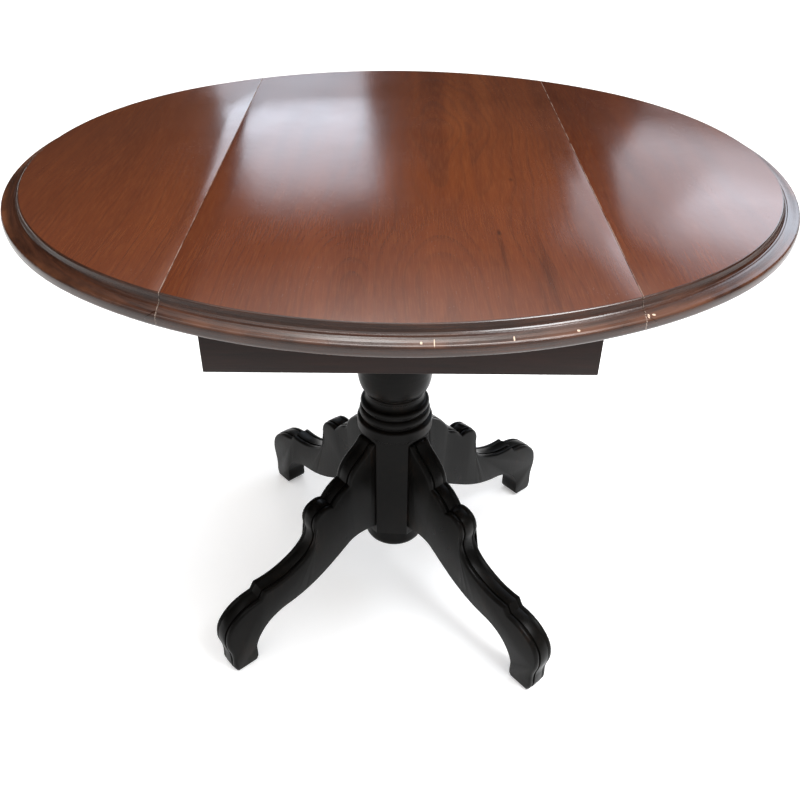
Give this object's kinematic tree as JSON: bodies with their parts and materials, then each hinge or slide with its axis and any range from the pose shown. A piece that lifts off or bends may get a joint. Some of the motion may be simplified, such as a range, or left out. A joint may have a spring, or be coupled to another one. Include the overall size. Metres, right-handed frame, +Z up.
{
  "type": "drop-leaf pedestal dining table",
  "caption": "Oval drop-leaf dining table with a moulded dark edge, on a turned pedestal column with scrolled legs.",
  "frame": {"origin": "on the floor under the middle of the column", "axes": "+Z up; +X runs across both leaves to the right; -Y is the front, +Y the back, along the leaf joints"},
  "size_m": [1.0158, 0.9144, 0.762],
  "materials": {
    "field_wood": "reddish-brown stain under a semi-gloss lacquer",
    "edge_wood": "dark espresso stain, satin, a few light chips",
    "apron_wood": "very dark brown stain, satin",
    "support_wood": "dark stain, satin",
    "plain_wood": "bare planed wood",
    "hinge_brass": "dull plated",
    "plain_steel": "plain",
    "black_lacquer": "black satin lacquer with slight rubbing on the ridges",
    "glide_plastic": "matt"
  },
  "bodies": {
    "table": {"centre_panel": "field_wood", "centre_rim_front": "edge_wood", "centre_rim_back": "edge_wood", "apron_front": "apron_wood", "apron_back": "apron_wood", "apron_left": "apron_wood", "apron_right": "apron_wood", "corner_block_front_left": "plain_wood", "corner_block_front_right": "plain_wood", "corner_block_back_left": "plain_wood", "corner_block_back_right": "plain_wood", "crossbar_front": "plain_wood", "crossbar_back": "plain_wood", "loper_guide_front": "plain_wood", "loper_guide_back": "plain_wood", "mounting_plate": "plain_wood", "leg_dowels": "plain_wood", "left_hinge_front_fixed": "hinge_brass", "left_hinge_middle_fixed": "hinge_brass", "left_hinge_back_fixed": "hinge_brass", "right_hinge_front_fixed": "hinge_brass", "right_hinge_middle_fixed": "hinge_brass", "right_hinge_back_fixed": "hinge_brass", "left_hinge_pins": "plain_steel", "right_hinge_pins": "plain_steel", "panel_hinge_screws": "plain_steel", "plate_screws": "plain_steel", "column_bolts": "plain_steel", "leg_bolts": "plain_steel", "column": "black_lacquer", "post": "black_lacquer", "post_cap": "black_lacquer", "leg_front_left": "black_lacquer", "leg_front_right": "black_lacquer", "leg_back_left": "black_lacquer", "leg_back_right": "black_lacquer", "glide_front_left": "glide_plastic", "glide_front_right": "glide_plastic", "glide_back_left": "glide_plastic", "glide_back_right": "glide_plastic"},
    "left_leaf": {"left_leaf": "field_wood", "left_leaf_rim": "edge_wood", "left_hinge_front_moving": "hinge_brass", "left_hinge_middle_moving": "hinge_brass", "left_hinge_back_moving": "hinge_brass", "left_leaf_screws": "plain_steel"},
    "right_leaf": {"right_leaf": "field_wood", "right_leaf_rim": "edge_wood", "right_hinge_front_moving": "hinge_brass", "right_hinge_middle_moving": "hinge_brass", "right_hinge_back_moving": "hinge_brass", "right_leaf_screws": "plain_steel"},
    "left_support_front": {"left_loper_front": "support_wood"},
    "left_support_back": {"left_loper_back": "support_wood"},
    "right_support_front": {"right_loper_front": "support_wood"},
    "right_support_back": {"right_loper_back": "support_wood"}
  },
  "joints": [
    {"name": "left_leaf_hinge", "type": "hinge", "parent": "table", "child": "left_leaf", "pos_m": [-0.235, 0, 0.737], "axis": [0, -1, 0], "range_deg": [0, 90]},
    {"name": "right_leaf_hinge", "type": "hinge", "parent": "table", "child": "right_leaf", "pos_m": [0.235, 0, 0.737], "axis": [0, 1, 0], "range_deg": [0, 90]},
    {"name": "left_support_front_slide", "type": "slide", "parent": "table", "child": "left_support_front", "axis": [1, 0, 0], "range_m": [-0.13, 0]},
    {"name": "left_support_back_slide", "type": "slide", "parent": "table", "child": "left_support_back", "axis": [1, 0, 0], "range_m": [-0.13, 0]},
    {"name": "right_support_front_slide", "type": "slide", "parent": "table", "child": "right_support_front", "axis": [-1, 0, 0], "range_m": [-0.13, 0]},
    {"name": "right_support_back_slide", "type": "slide", "parent": "table", "child": "right_support_back", "axis": [-1, 0, 0], "range_m": [-0.13, 0]}
  ]
}
